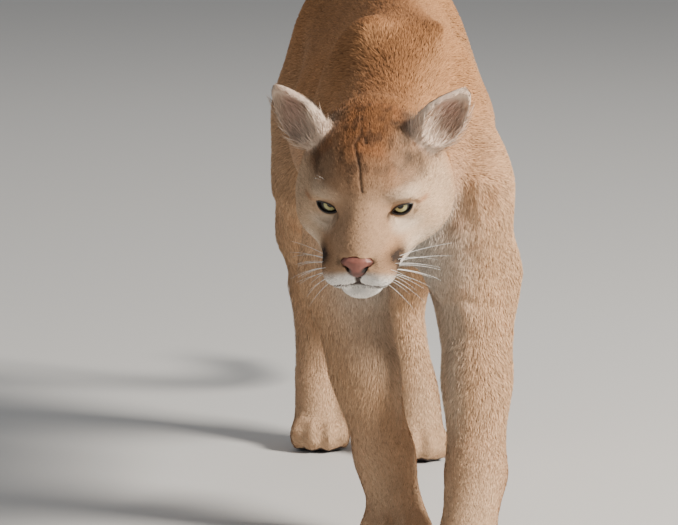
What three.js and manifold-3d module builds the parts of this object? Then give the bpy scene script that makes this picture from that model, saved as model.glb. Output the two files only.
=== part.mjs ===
// A cougar at life size, walking: a grown male with its head carried low and its left forefoot set forward.
// Millimetres. +Z is up, the animal faces -Y, and +X is its left side. The floor is Z = 0.
// Every sub-part is cast from one set of smooth forms, so that the outline runs on from part to part.

import * as THREE from "three";
import { mergeVertices } from "three/addons/utils/BufferGeometryUtils.js";
import Module from "manifold-3d";

const wasm = await Module();
wasm.setup();

// Driving dimensions of the animal
const WITHERS = 680; // floor to the top of the shoulders
const RUMP = 712; // floor to the top of the hips
const HALF_CHEST = 134; // half the width of the rib cage, with its coat
const TRUNK = 690; // front of the chest to the root of the tail
const EYE_SPACING = 84; // between the centres of the eyes
const EYE_RADIUS = 15.5;
const HALF_CHEEKS = 95; // half the width of the head at the cheeks
const EAR_LENGTH = 78;
const FORE_PAW_WIDTH = 96;
const HIND_PAW_WIDTH = 84;
const TAIL_THICKNESS = 54;

// Gap that touching sub-parts keep
const GAP = 0.3;

// Where the head is held: the point between the eyes, then how far it turns and bows
const HEAD_AT = [-70, -400, 498];
const HEAD_TURN = -12; // degrees, towards the animal's right
const HEAD_BOW = 22; // degrees below level
const HEAD_TILT = 0;

const UP = new THREE.Vector3(0, 0, 1);
const FORWARD = new THREE.Vector3(0, -1, 0);
const vec = (point) => new THREE.Vector3(...point);
const radians = THREE.MathUtils.degToRad;
const mirrored = (side, [x, y, z]) => [side * x, y, z];

// Fields: each gives the distance from a form's surface, less than nothing inside it

// An ellipsoid, turned about X, Y and Z in degrees
function egg(centre, radii, turn = [0, 0, 0]) {
  const back = new THREE.Matrix4()
    .makeRotationFromEuler(new THREE.Euler(...turn.map(radians)))
    .setPosition(vec(centre))
    .invert();
  const [a, b, c] = radii;
  const q = new THREE.Vector3();
  return (point) => {
    q.copy(point).applyMatrix4(back);
    const near = Math.hypot(q.x / a, q.y / b, q.z / c);
    const slope = Math.hypot(q.x / (a * a), q.y / (b * b), q.z / (c * c));
    return slope < 1e-9 ? -Math.min(a, b, c) : (near * (near - 1)) / slope;
  };
}

// A limb that tapers from one round end to the other
function limb(from, to, startRadius, endRadius) {
  const start = vec(from);
  const run = vec(to).sub(start);
  const q = new THREE.Vector3();
  return (point) => {
    q.copy(point).sub(start);
    const share = THREE.MathUtils.clamp(q.dot(run) / run.lengthSq(), 0, 1);
    return q.addScaledVector(run, -share).length() - THREE.MathUtils.lerp(startRadius, endRadius, share);
  };
}

// Forms joined with a soft fillet of about this width
function blend(width, ...forms) {
  return (point) =>
    forms
      .map((form) => form(point))
      .reduce((a, b) => {
        const share = Math.max(width - Math.abs(a - b), 0) / width;
        return Math.min(a, b) - (share * share * width) / 4;
      });
}

// A form that is described in a frame of its own
function placed(frame, form) {
  const back = frame.clone().invert();
  const q = new THREE.Vector3();
  return (point) => form(q.copy(point).applyMatrix4(back));
}

// Meshes: a capsule's vertices are cast outwards from a bent line, each until the field reaches zero.
// A ray that finds no surface stops at the reach.
function cast(form, line, { sides, rings, caps, up = UP, reach = 1e4, grow = 0 }) {
  const capsule = new THREE.CapsuleGeometry(1, 2, caps, sides, rings);
  capsule.deleteAttribute("normal");
  capsule.deleteAttribute("uv");
  const skin = mergeVertices(capsule, 1e-4);
  const places = skin.getAttribute("position");
  const corner = new THREE.Vector3();
  for (let i = 0; i < places.count; i++) {
    corner.fromBufferAttribute(places, i);
    const station = THREE.MathUtils.clamp(corner.y, -1, 1);
    const origin = line.getPoint((station + 1) / 2);
    const along = line.getTangent((station + 1) / 2);
    const across = along.clone().cross(up).normalize();
    const over = across.clone().cross(along);
    const ray = new THREE.Vector3()
      .addScaledVector(across, corner.x)
      .addScaledVector(along, corner.y - station)
      .addScaledVector(over, corner.z)
      .normalize();
    const found = origin.addScaledVector(ray, firstSurface(form, origin, ray, reach, grow));
    places.setXYZ(i, found.x, found.y, found.z);
  }
  return skin;
}

// How far along a ray the form's surface lies, grown by a little if asked
function firstSurface(form, origin, ray, reach, grow) {
  const LEAST_STEP = 0.6;
  const q = new THREE.Vector3();
  const depth = (d) => form(q.copy(origin).addScaledVector(ray, d)) - grow;
  let inside = 0;
  let outside = 0;
  while (outside < reach) {
    const here = depth(outside);
    if (here > 0) break;
    inside = outside;
    outside += Math.max(-here * 0.7, LEAST_STEP);
  }
  if (outside >= reach) return reach;
  for (let turn = 0; turn < 24; turn++) {
    const middle = (inside + outside) / 2;
    if (depth(middle) > 0) outside = middle;
    else inside = middle;
  }
  return inside;
}

const curve = (...points) => new THREE.CatmullRomCurve3(points.map(vec), false, "centripetal");

function solid(geometry) {
  return new wasm.Manifold(
    new wasm.Mesh({
      numProp: 3,
      vertProperties: new Float32Array(geometry.getAttribute("position").array),
      triVerts: new Uint32Array(geometry.index.array),
    }),
  );
}

// The largest closed surface of a solid, which drops any loose scrap
function whole(shape) {
  return shape.decompose().reduce((a, b) => (b.volume() > a.volume() ? b : a));
}

// A solid cut in two across a plane: what lies before the plane, then what lies beyond it, a gap apart
function parted(shape, through, normal) {
  const level = normal.dot(through);
  const before = shape.trimByPlane(normal.clone().negate().toArray(), -level);
  return [before, shape.trimByPlane(normal.toArray(), level + GAP)];
}

function geometryOf(shape) {
  const mesh = shape.getMesh();
  const geometry = new THREE.BufferGeometry();
  geometry.setAttribute("position", new THREE.BufferAttribute(new Float32Array(mesh.vertProperties), 3));
  geometry.setIndex(new THREE.BufferAttribute(new Uint32Array(mesh.triVerts), 1));
  geometry.computeVertexNormals();
  return geometry;
}

// Trunk: rib cage, belly, loin and rump along one backbone

function trunkForm() {
  const ribs = egg([0, 205, 512], [HALF_CHEST, 240, 146]);
  const brisket = egg([0, -20, 478], [84, 105, 118]);
  const belly = egg([0, 350, 486], [HALF_CHEST - 8, 215, 104]);
  const loin = egg([0, 420, 570], [100, 190, 104]);
  const rump = egg([4, 570, 585], [110, 132, RUMP - 590]);
  const withers = egg([0, 60, WITHERS - 122], [84, 150, 118]);
  const backbone = limb([0, 50, WITHERS - 42], [0, 540, RUMP - 56], 40, 52);
  return blend(46, ribs, brisket, belly, loin, rump, withers, backbone);
}

// From inside the back of the head to inside the rump
function backLine() {
  return curve(
    inHead([0, 110, -14]),
    [-24, -190, 530],
    [-3, -90, 525],
    [0, 30, 510],
    [0, 200, 520],
    [0, 400, 545],
    [0, TRUNK - 110, 590],
  );
}

// Legs. Each is described by its joints, from the shoulder blade or hip down to the middle of the foot.

const FORELEGS = {
  left: {
    side: 1,
    blade: [50, 56, WITHERS - 36],
    shoulder: [82, -78, 490],
    elbow: [98, 26, 345],
    wrist: [86, -112, 112],
    paw: [72, -168, 0],
    toeOut: 2,
  },
  right: {
    side: -1,
    blade: [-52, 32, WITHERS - 14],
    shoulder: [-82, -60, 492],
    elbow: [-74, 58, 345],
    wrist: [-20, 26, 108],
    paw: [-8, -14, 0],
    toeOut: 4,
  },
};

const HINDLEGS = {
  left: {
    side: 1,
    hip: [72, 585, 600],
    knee: [96, 462, 402],
    hock: [40, 612, 214],
    paw: [57, 556, 0],
    toeOut: 3,
  },
  right: {
    side: -1,
    hip: [-60, 592, 600],
    knee: [-94, 488, 402],
    hock: [-84, 682, 222],
    paw: [-73, 634, 0],
    toeOut: 3,
  },
};

const between = (a, b, share) => vec(a).lerp(vec(b), share).toArray();

// A foot that stands flat: four toes in a fan before one broad pad, under the leg's lower end
function pawForm({ paw, toeOut, side }, width, length, ankle, ankleRadius) {
  const half = width / 2;
  const toeRadius = width * 0.158;
  const fan = [-1, -0.36, 0.36, 1];
  const toes = fan.map((place) =>
    egg(
      [place * (half - toeRadius), -length * (0.33 - 0.13 * place * place), 23],
      [toeRadius, length * 0.29, 25],
      [0, 0, place * 9],
    ),
  );
  const pad = egg([0, length * 0.1, 28], [half * 0.86, length * 0.38, 32]);
  const frame = new THREE.Matrix4().makeRotationZ(radians(side * toeOut)).setPosition(vec(paw));
  const instep = limb(ankle, [paw[0], paw[1] + length * 0.04, 46], ankleRadius, half * 0.72);
  return blend(16, placed(frame, blend(9, blend(7, ...toes), pad)), instep);
}

function forelegForm(leg) {
  const { blade, shoulder, elbow, wrist, side } = leg;
  const bladeForm = egg(between(blade, shoulder, 0.42), [46, 74, 110], [24, -side * 15, 0]);
  const shoulderForm = egg(between(shoulder, elbow, 0.12), [46, 74, 76]);
  const armpit = [elbow[0] - side * 12, elbow[1] - 22, elbow[2] - 34];
  const pectoral = limb([shoulder[0] - side * 36, shoulder[1] + 12, shoulder[2] - 76], armpit, 52, 38);
  const upperArm = limb(shoulder, elbow, 48, 50);
  const elbowPoint = limb(elbow, [elbow[0], elbow[1] + 26, elbow[2] + 8], 42, 28);
  const forearm = limb(elbow, between(elbow, wrist, 0.55), 50, 42);
  const lowerArm = limb(between(elbow, wrist, 0.5), wrist, 42, 36);
  return blend(30, bladeForm, shoulderForm, upperArm, pectoral, blend(22, elbowPoint, forearm, lowerArm));
}

function hindlegForm(leg) {
  const { hip, knee, hock, side } = leg;
  const thigh = egg(between(hip, knee, 0.42), [54, 96, 148], [-14, -side * 5, 0]);
  const buttock = egg([hip[0] * 0.9, hip[1] + 34, hip[2] - 60], [46, 74, 105], [-4, 0, 0]);
  const kneeForm = limb(between(hip, knee, 0.6), knee, 66, 47);
  const shank = limb(knee, between(knee, hock, 0.5), 50, 44);
  const lowerShank = limb(between(knee, hock, 0.45), hock, 43, 28);
  const heel = limb(hock, [hock[0], hock[1] + 14, hock[2] + 12], 26, 20);
  const foot = limb(hock, [leg.paw[0], leg.paw[1] + 14, 62], 27, 30);
  return blend(26, blend(34, thigh, buttock, kneeForm), shank, blend(16, lowerShank, heel, foot));
}

const UPPER_LEG = { sides: 16, rings: 18, caps: 3, up: FORWARD };
const LOWER_LEG = { sides: 22, rings: 7, caps: 5, up: FORWARD };

function foreleg(leg) {
  const { blade, shoulder, elbow, wrist, paw } = leg;
  return {
    form: blend(20, forelegForm(leg), pawForm(leg, FORE_PAW_WIDTH, 104, wrist, 36)),
    upperLine: curve(
      between(blade, shoulder, 0.2),
      between(shoulder, elbow, 0.25),
      elbow,
      between(elbow, wrist, 0.6),
      wrist,
    ),
    lowerLine: curve(
      wrist,
      [paw[0], paw[1] + 26, 62],
      [paw[0], paw[1] - 2, 34],
      [paw[0], paw[1] - 26, 27],
    ),
    cutAt: vec(between(elbow, wrist, 0.86)),
    cutNormal: vec([0, 0.25, 1]).normalize(),
  };
}

function hindleg(leg) {
  const { hip, knee, hock, paw } = leg;
  return {
    form: blend(18, hindlegForm(leg), pawForm(leg, HIND_PAW_WIDTH, 98, [paw[0], paw[1] + 20, 90], 30)),
    upperLine: curve(
      between(hip, knee, 0.1),
      between(hip, knee, 0.6),
      [knee[0], knee[1] + 22, knee[2] - 24],
      between(knee, hock, 0.62),
      [hock[0], hock[1] - 2, hock[2] - 10],
      between(hock, paw, 0.5),
    ),
    lowerLine: curve(
      between(hock, paw, 0.4),
      [paw[0], paw[1] + 20, 66],
      [paw[0], paw[1] - 2, 34],
      [paw[0], paw[1] - 24, 27],
    ),
    cutAt: vec(between(hock, paw, 0.5)),
    cutNormal: vec([0, 0.2, 1]).normalize(),
  };
}

// Both nodes of one leg, cut across at the wrist or hock and set flat on the floor
function legSolids({ form, upperLine, lowerLine, cutAt, cutNormal }, bodyGrown) {
  const upper = solid(cast(form, upperLine, UPPER_LEG));
  const lower = solid(cast(form, lowerLine, LOWER_LEG));
  const [, above] = parted(upper, cutAt, cutNormal);
  const [below] = parted(lower, cutAt, cutNormal);
  return {
    upper: whole(above.subtract(bodyGrown)),
    lower: whole(below.trimByPlane([0, 0, 1], 0)),
  };
}

// Head, described in its own frame: the eyes lie at Y = 0 and Z = 0, and the nose points along -Y

const headFrame = new THREE.Matrix4()
  .makeRotationFromEuler(new THREE.Euler(radians(HEAD_BOW), radians(HEAD_TILT), radians(HEAD_TURN), "ZXY"))
  .setPosition(vec(HEAD_AT));
const inHead = (point) => vec(point).applyMatrix4(headFrame).toArray();
const EYE_AT = [EYE_SPACING / 2, 8, 0];

function headForm() {
  const pair = (centre, radii, turn = [0, 0, 0]) =>
    [1, -1].map((side) => egg(mirrored(side, centre), radii, [turn[0], side * turn[1], side * turn[2]]));
  const cranium = egg([0, 74, 13], [80, 84, 68]);
  const nape = egg([0, 112, 8], [77, 62, 70]);
  const forehead = egg([0, 34, 26], [50, 50, 36]);
  const brows = pair([36, 8, 19], [25, 19, 11], [0, 14, -18]);
  const cheekbones = pair([54, 38, -18], [28, 40, 27], [0, 0, 30]);
  const jowls = pair([HALF_CHEEKS - 40, 72, -28], [40, 50, 46]);
  const cheeks = [1, -1].map((side) => limb([side * 20, -42, -40], [side * 52, 26, -34], 22, 25));
  const lids = pair(EYE_AT, [EYE_RADIUS + 3.2, EYE_RADIUS + 2.4, EYE_RADIUS + 1]);
  const bridge = limb([0, 4, 5], [0, -66, -31], 29, 20.5);
  const muzzle = egg([0, -42, -38], [37, 42, 30]);
  const pads = pair([21, -64, -49], [23.5, 28, 21], [8, 0, 10]);
  const throat = egg([0, 66, -52], [56, 66, 34]);
  const sides = blend(22, ...cheekbones, ...jowls, ...cheeks);
  const skull = blend(30, blend(24, cranium, nape, forehead), sides, throat);
  const snout = blend(9, blend(16, bridge, muzzle), ...pads);
  const face = blend(20, skull, snout, ...brows);
  return blend(6, face, ...lids);
}

function jawForm() {
  const chin = egg([0, -57, -74], [25, 26, 15.5], [-6, 0, 0]);
  const branches = [1, -1].map((side) => limb([side * 13, -48, -68], [side * 42, 44, -60], 13, 24));
  const floor = egg([0, -6, -66], [30, 56, 17]);
  return blend(16, chin, ...branches, floor);
}

// A lens-shaped slit before each eye, with the lids left round it
function eyeOpening(side) {
  const HALF_WIDTH = 16.5;
  const HALF_HEIGHT = 7.5;
  const SLANT = 14;
  const bow = (HALF_WIDTH ** 2 + HALF_HEIGHT ** 2) / (2 * HALF_HEIGHT);
  const reach = Math.asin(HALF_WIDTH / bow);
  const outline = new THREE.Shape();
  outline.absarc(0, HALF_HEIGHT - bow, bow, Math.PI / 2 - reach, Math.PI / 2 + reach);
  outline.absarc(0, bow - HALF_HEIGHT, bow, -Math.PI / 2 - reach, -Math.PI / 2 + reach);
  const lens = new THREE.ExtrudeGeometry(outline, { depth: 34, bevelEnabled: false, curveSegments: 8 });
  lens.deleteAttribute("normal");
  lens.deleteAttribute("uv");
  lens.rotateX(radians(90));
  lens.rotateY(radians(-side * SLANT));
  lens.rotateZ(radians(side * 14));
  lens.translate(side * EYE_AT[0], EYE_AT[1], EYE_AT[2]);
  return mergeVertices(lens, 1e-4);
}

function eyeBall(side, radius) {
  const ball = new THREE.SphereGeometry(radius, 14, 10);
  ball.deleteAttribute("normal");
  ball.deleteAttribute("uv");
  ball.rotateX(radians(90));
  ball.translate(side * EYE_AT[0], EYE_AT[1], EYE_AT[2]);
  return mergeVertices(ball, 1e-4);
}

// The nose leather: broad above, narrowing to the lip, with a nostril hollowed from each side
function noseForm() {
  const top = egg([0, -79, -30], [21, 11, 8], [-24, 0, 0]);
  const tip = egg([0, -83, -37], [13, 8, 10]);
  const stem = limb([0, -84, -40], [0, -84, -46], 5, 3);
  return blend(5, top, tip, stem);
}

function nostril(side) {
  const opening = egg([side * 13.5, -88, -37], [5.2, 9, 3.2], [0, side * 24, side * 20]);
  return solid(
    cast(opening, curve([side * 13.5, -89, -37], [side * 13.5, -87, -37]), { sides: 10, rings: 1, caps: 3 }),
  );
}

// Ear: a hollow cup that leans outwards, its back rounded and its mouth turned forwards

const EAR_ROOT = [66, 70, 53];
const EAR_TIP = [117, 88, 108];
const EAR_SHAPE = { sides: 14, rings: 4, caps: 3, up: FORWARD };

function earFrame(side) {
  const root = vec(mirrored(side, EAR_ROOT));
  const along = vec(mirrored(side, EAR_TIP)).sub(root).normalize();
  const facing = vec([side * 0.42, -1, 0]);
  facing.addScaledVector(along, -facing.dot(along)).normalize();
  const across = facing.clone().cross(along).negate();
  return new THREE.Matrix4().makeBasis(across, facing.clone().negate(), along.clone()).setPosition(root);
}

function earShell(side, grow) {
  const length = EAR_LENGTH;
  const base = egg([0, 0, length * 0.28], [31, 19, length * 0.56]);
  const tip = egg([0, 2, length * 0.66], [16.5, 9, length * 0.36]);
  const line = curve([0, 0, 0], [0, 0, length * 0.45], [0, 1, length * 0.8]);
  return solid(cast(blend(10, base, tip), line, { ...EAR_SHAPE, grow })).transform(earFrame(side).toArray());
}

function earCup(side) {
  const length = EAR_LENGTH;
  const base = egg([0, -9, length * 0.39], [25.5, 18.5, length * 0.41]);
  const tip = egg([0, -6, length * 0.66], [12.5, 10, length * 0.29]);
  const line = curve([0, -9, length * 0.1], [0, -8, length * 0.45], [0, -6, length * 0.8]);
  return solid(cast(blend(8, base, tip), line, EAR_SHAPE)).transform(earFrame(side).toArray());
}

// Neck: from the chest up to the back of the head, deeper than it is wide

const NECK_ROOT = vec([-6, -104, 520]); // where the neck is parted from the trunk
const HEAD_BACK = 98; // how far behind the eyes the head is parted from the neck

function neckForm() {
  const upper = limb([0, -10, 580], inHead([0, 122, -10]), 88, 66);
  const lower = limb([0, -70, 500], inHead([0, 84, -44]), 84, 52);
  return blend(50, upper, lower);
}

// A block behind the plane that parts the head from the neck, in the head's frame
function behindHead() {
  const BLOCK = 1000;
  const block = new THREE.BoxGeometry(BLOCK, BLOCK, BLOCK).translate(0, BLOCK / 2 + HEAD_BACK + GAP, 0);
  block.deleteAttribute("normal");
  block.deleteAttribute("uv");
  return solid(mergeVertices(block, 1e-4));
}

// Tail: hangs from the rump in one curve and turns up a little at the end, clear of the floor

const TAIL_TIP_FROM = 0.72; // the share of its length where the dark tip begins
const TAIL_LINE = curve(
  [0, TRUNK - 60, 618],
  [0, TRUNK, 612],
  [0, TRUNK + 62, 556],
  [2, TRUNK + 106, 462],
  [6, TRUNK + 140, 358],
  [12, TRUNK + 190, 258],
  [20, TRUNK + 268, 184],
  [30, TRUNK + 358, 160],
  [40, TRUNK + 436, 188],
);

function tailForm() {
  const STEPS = 36;
  const half = TAIL_THICKNESS / 2;
  const thickness = (share) => half * (1 + 0.5 * Math.exp(-share * 9) - 0.16 * share);
  const pieces = [];
  for (let i = 0; i < STEPS; i++) {
    const [a, b] = [i / STEPS, (i + 1) / STEPS];
    pieces.push(limb(TAIL_LINE.getPoint(a).toArray(), TAIL_LINE.getPoint(b).toArray(), thickness(a), thickness(b)));
  }
  return (point) => Math.min(...pieces.map((piece) => piece(point)));
}

// Assembly

const COAT = new THREE.MeshStandardMaterial({ color: "#bf9468", roughness: 0.9, metalness: 0 });
const PALE_COAT = new THREE.MeshStandardMaterial({ color: "#e9dfd2", roughness: 0.9, metalness: 0 });
const DARK_COAT = new THREE.MeshStandardMaterial({ color: "#3a2a22", roughness: 0.9, metalness: 0 });
const NOSE_LEATHER = new THREE.MeshStandardMaterial({ color: "#b5655a", roughness: 0.55, metalness: 0 });
const EYE = new THREE.MeshStandardMaterial({ color: "#9a9a62", roughness: 0.08, metalness: 0 });

const cougar = new THREE.Group();

function add(name, shape, material) {
  const mesh = new THREE.Mesh(geometryOf(shape), material);
  mesh.name = name;
  cougar.add(mesh);
}

const posed = (shape) => shape.transform(headFrame.toArray());
const skull = headForm();
const bodyForm = blend(44, trunkForm(), blend(40, neckForm(), placed(headFrame, skull)));
const bodyShape = { sides: 26, rings: 32, caps: 4 };
const body = solid(cast(bodyForm, backLine(), bodyShape));
const bodyGrown = solid(cast(bodyForm, backLine(), { ...bodyShape, grow: GAP }));
const [neckBlank, torso] = parted(body, NECK_ROOT, vec([0.16, 1, -0.1]).normalize());
add("torso", whole(torso), COAT);

const forelegs = Object.entries(FORELEGS).map(([name, leg]) => [name, foreleg(leg)]);
const hindlegs = Object.entries(HINDLEGS).map(([name, leg]) => [name, hindleg(leg)]);
for (const [kind, legs] of [["fore", forelegs], ["hind", hindlegs]]) {
  for (const [name, leg] of legs) {
    const { upper, lower } = legSolids(leg, bodyGrown);
    add(kind + "leg_" + name, upper, COAT);
    add(kind + "paw_" + name, lower, COAT);
  }
}

const face = blend(40, skull, placed(headFrame.clone().invert(), neckForm()));
const faceLine = curve([0, 22, -14], [0, 60, -6], [0, 116, -6]);
const faceShape = { sides: 40, rings: 4, caps: 20 };
const noseSkin = noseForm();
const noseLine = curve([0, -76, -32], [0, -79, -38]);
const noseShape = { sides: 16, rings: 2, caps: 4, up: new THREE.Vector3(1, 0, 0) };
const noseGrown = solid(cast(noseSkin, noseLine, { ...noseShape, grow: GAP }));
const headGrown = solid(cast(face, faceLine, { ...faceShape, grow: GAP }));
let head = solid(cast(face, faceLine, faceShape)).trimByPlane([0, -1, 0], -HEAD_BACK).subtract(noseGrown);
for (const side of [1, -1]) {
  head = head.subtract(solid(eyeBall(side, EYE_RADIUS + GAP))).subtract(solid(eyeOpening(side)));
}
add("head", posed(whole(head)), COAT);

let nose = solid(cast(noseSkin, noseLine, noseShape));
for (const side of [1, -1]) nose = nose.subtract(nostril(side));
add("nose", posed(whole(nose)), NOSE_LEATHER);

const jawLine = curve([0, -52, -70], [0, -20, -67], [0, 34, -62]);
const jawShape = { sides: 16, rings: 6, caps: 3 };
const jaw = solid(cast(jawForm(), jawLine, jawShape));
const jawGrown = solid(cast(jawForm(), jawLine, { ...jawShape, grow: GAP }));
add("jaw", posed(whole(jaw.subtract(headGrown).subtract(noseGrown))), PALE_COAT);

for (const [name, side] of [["left", 1], ["right", -1]]) {
  add("eye_" + name, posed(solid(eyeBall(side, EYE_RADIUS))), EYE);
  add("ear_" + name, posed(whole(earShell(side, 0).subtract(earCup(side)).subtract(headGrown))), COAT);
}

let neck = neckBlank.intersect(posed(behindHead()));
for (const grown of [jawGrown, earShell(1, GAP), earShell(-1, GAP)]) neck = neck.subtract(posed(grown));
add("neck", whole(neck), COAT);

const tailBlank = solid(cast(tailForm(), TAIL_LINE, { sides: 10, rings: 30, caps: 3 }));
const tailParts = parted(tailBlank, TAIL_LINE.getPoint(TAIL_TIP_FROM), TAIL_LINE.getTangent(TAIL_TIP_FROM));
const [tailRoot, tailTip] = tailParts;
let tailRootTrimmed = tailRoot.subtract(bodyGrown);
for (const [, leg] of hindlegs) {
  tailRootTrimmed = tailRootTrimmed.subtract(solid(cast(leg.form, leg.upperLine, { ...UPPER_LEG, grow: GAP })));
}
add("tail_root", whole(tailRootTrimmed), COAT);
add("tail_tip", whole(tailTip), DARK_COAT);

// The origin is the middle of the whole animal's footprint, on the floor
const middle = new THREE.Box3().setFromObject(cougar).getCenter(new THREE.Vector3()).setZ(0);
for (const mesh of cougar.children) mesh.position.sub(middle);

export default cougar;
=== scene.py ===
# %% [markdown]
# # A life-size cougar in mid-walk
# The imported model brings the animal's solids: head, neck, trunk, legs, paws, tail, ears, eyes and nose.
# This lesson dresses them. One skin takes the place of all the solids of flesh, so that no gap shows, and
# a coat of small mesh tufts grows over it. Eyes, nose leather, lid rims and whiskers are pieces of their own.

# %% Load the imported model
import math

import bmesh
import bpy
import numpy as np
from mathutils import Matrix, Vector
from mathutils.bvhtree import BVHTree


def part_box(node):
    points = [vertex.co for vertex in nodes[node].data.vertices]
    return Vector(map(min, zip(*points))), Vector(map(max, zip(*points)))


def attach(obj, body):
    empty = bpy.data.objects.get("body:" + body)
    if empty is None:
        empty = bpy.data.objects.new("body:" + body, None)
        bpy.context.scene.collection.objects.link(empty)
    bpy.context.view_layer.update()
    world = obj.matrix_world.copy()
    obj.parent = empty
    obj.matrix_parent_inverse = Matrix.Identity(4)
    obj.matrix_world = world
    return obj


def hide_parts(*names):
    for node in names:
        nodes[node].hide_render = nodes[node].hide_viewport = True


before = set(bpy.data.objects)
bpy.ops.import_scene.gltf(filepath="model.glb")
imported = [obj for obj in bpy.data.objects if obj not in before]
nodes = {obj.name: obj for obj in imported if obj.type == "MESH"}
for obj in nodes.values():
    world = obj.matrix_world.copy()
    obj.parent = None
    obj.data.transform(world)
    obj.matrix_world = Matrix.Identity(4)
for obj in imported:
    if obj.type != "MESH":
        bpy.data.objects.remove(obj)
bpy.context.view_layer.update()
rng = np.random.default_rng(7)

# %% [markdown]
# ## Where things are
# Every place below comes from the solids. The head has a frame of its own, so that a fold or a marking can
# be given as a distance from the point between the eyes: X to the animal's left, Y backwards, Z to the crown.


# %% The head's own frame
def middle(node):
    low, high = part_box(node)
    return (low + high) / 2


HEAD_TURN = math.radians(-12)
HEAD_BOW = math.radians(22)
EYE_DEPTH = 0.008
eye_left, eye_right = middle("eye_left"), middle("eye_right")
EYE_RADIUS = (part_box("eye_left")[1].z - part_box("eye_left")[0].z) / 2
head_turn = Matrix.Rotation(HEAD_TURN, 4, "Z") @ Matrix.Rotation(HEAD_BOW, 4, "X")
between_eyes = (eye_left + eye_right) / 2 - head_turn @ Vector((0, EYE_DEPTH, 0))
head_to_world = Matrix.Translation(between_eyes) @ head_turn
world_to_head = head_to_world.inverted()
HALF_EYES = (eye_left - eye_right).length / 2
print("eye radius", round(EYE_RADIUS, 4), "| half the spacing", round(HALF_EYES, 4))


def in_head(points):
    """World points, one a row, in the head's frame."""
    m = np.array(world_to_head)
    return points @ m[:3, :3].T + m[:3, 3]


def turned_to_head(directions):
    return directions @ np.array(world_to_head)[:3, :3].T


def turned_to_world(directions):
    return directions @ np.array(head_to_world)[:3, :3].T


# %% [markdown]
# ## Camera
# The photograph looks down a long lens at the walking animal from a little above. A long lens set back
# more than six metres keeps the head from swelling in front of the body. It stands slightly to the
# animal's right, as in the picture.

# %% Camera
CAMERA_FROM_EYES = Vector((-0.3516, -6.0942, 0.919))
camera_data = bpy.data.cameras.new("camera")
camera_data.lens = 276.2
camera_data.sensor_width = 36
camera_data.clip_end = 200
camera = bpy.data.objects.new("camera", camera_data)
bpy.context.scene.collection.objects.link(camera)
camera.location = (eye_left + eye_right) / 2 + CAMERA_FROM_EYES
camera.rotation_euler = (math.radians(90 - 9.23), 0, math.radians(-3))
bpy.context.scene.camera = camera

# %% [markdown]
# ## Floor and light
# A pale floor and soft lamps show the coat without hard shadows. The key stands high at the camera's right,
# where the light comes from in the picture, so that the head keeps its lit side and its shaded side.


# %% Helpers for meshes and objects
def new_object(name, mesh):
    obj = bpy.data.objects.new(name, mesh)
    bpy.context.scene.collection.objects.link(obj)
    return obj


def mesh_from_bmesh(name, bm):
    mesh = bpy.data.meshes.new(name)
    bm.to_mesh(mesh)
    bm.free()
    return mesh


def vertex_places(mesh):
    places = np.empty(len(mesh.vertices) * 3, np.float32)
    mesh.vertices.foreach_get("co", places)
    return places.reshape(-1, 3).astype(float)


def set_vertex_places(mesh, places):
    mesh.vertices.foreach_set("co", places.astype(np.float32).ravel())
    mesh.update()


# %% Floor
floor_bm = bmesh.new()
bmesh.ops.create_grid(floor_bm, x_segments=1, y_segments=1, size=60)
floor = new_object("floor", mesh_from_bmesh("floor", floor_bm))
floor_material = bpy.data.materials.new("pale floor")
floor_material.use_nodes = True
floor_shader = floor_material.node_tree.nodes["Principled BSDF"]
floor_shader.inputs["Base Color"].default_value = (0.62, 0.61, 0.59, 1)
floor_shader.inputs["Roughness"].default_value = 0.8
floor.data.materials.append(floor_material)


# %% [markdown]
# ## Lamps
# One key lamp gives the lit side, with a weak fill on the other side and a weak back lamp. Point lamps would
# give hard shadows, so each is an area.

# %% Lamps
def lamp(name, place, size, power, colour=(1, 1, 1)):
    data = bpy.data.lights.new(name, "AREA")
    data.energy = power
    data.size = size
    data.color = colour
    obj = bpy.data.objects.new(name, data)
    bpy.context.scene.collection.objects.link(obj)
    obj.location = place
    obj.rotation_euler = (Vector((0, 0, 0.4)) - Vector(place)).to_track_quat("-Z", "Y").to_euler()
    return obj


lamp("key", (3.4, -2.2, 3.0), 1.2, 560, (1.0, 0.94, 0.86))
lamp("fill", (-3.6, -2.4, 2.4), 3.0, 24, (0.94, 0.97, 1.0))
lamp("back", (0.4, 3.6, 3.2), 2.4, 26, (1.0, 0.97, 0.93))
world = bpy.data.worlds.new("studio")
bpy.context.scene.world = world
world.use_nodes = True
world.node_tree.nodes["Background"].inputs["Color"].default_value = (0.80, 0.84, 0.90, 1)
world.node_tree.nodes["Background"].inputs["Strength"].default_value = 0.27

# %% [markdown]
# ## One skin
# The solids of flesh are copied, swollen by a hair so that they meet, and voxel remeshed into a single
# closed surface at a fine step. That step is wanted on the head only, so the body is then thinned out with
# Decimate, held back on the head by a vertex group. Smoothing takes away the voxel steps.

# %% Gather the flesh
FLESH = [n for n in nodes if n not in ("eye_left", "eye_right", "nose")]
SWELL = 0.0006
VOXEL = 0.0026


def copy_of(node):
    """A loose copy of a node's mesh with its triangles joined."""
    bm = bmesh.new()
    bm.from_mesh(nodes[node].data)
    bmesh.ops.remove_doubles(bm, verts=bm.verts, dist=1e-5)
    return bm


gathered = bmesh.new()
for node in FLESH:
    part = copy_of(node)
    part.normal_update()
    for vertex in part.verts:
        vertex.co += vertex.normal * SWELL
    part_mesh = mesh_from_bmesh("part", part)
    gathered.from_mesh(part_mesh)
    bpy.data.meshes.remove(part_mesh)

# Balls that close the eye openings: the lids are cut again later, finer than a voxel
for eye in (eye_left, eye_right):
    bmesh.ops.create_uvsphere(
        gathered, u_segments=32, v_segments=20, radius=EYE_RADIUS + 0.0016, matrix=Matrix.Translation(eye)
    )
skin = new_object("skin", mesh_from_bmesh("skin", gathered))

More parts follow.
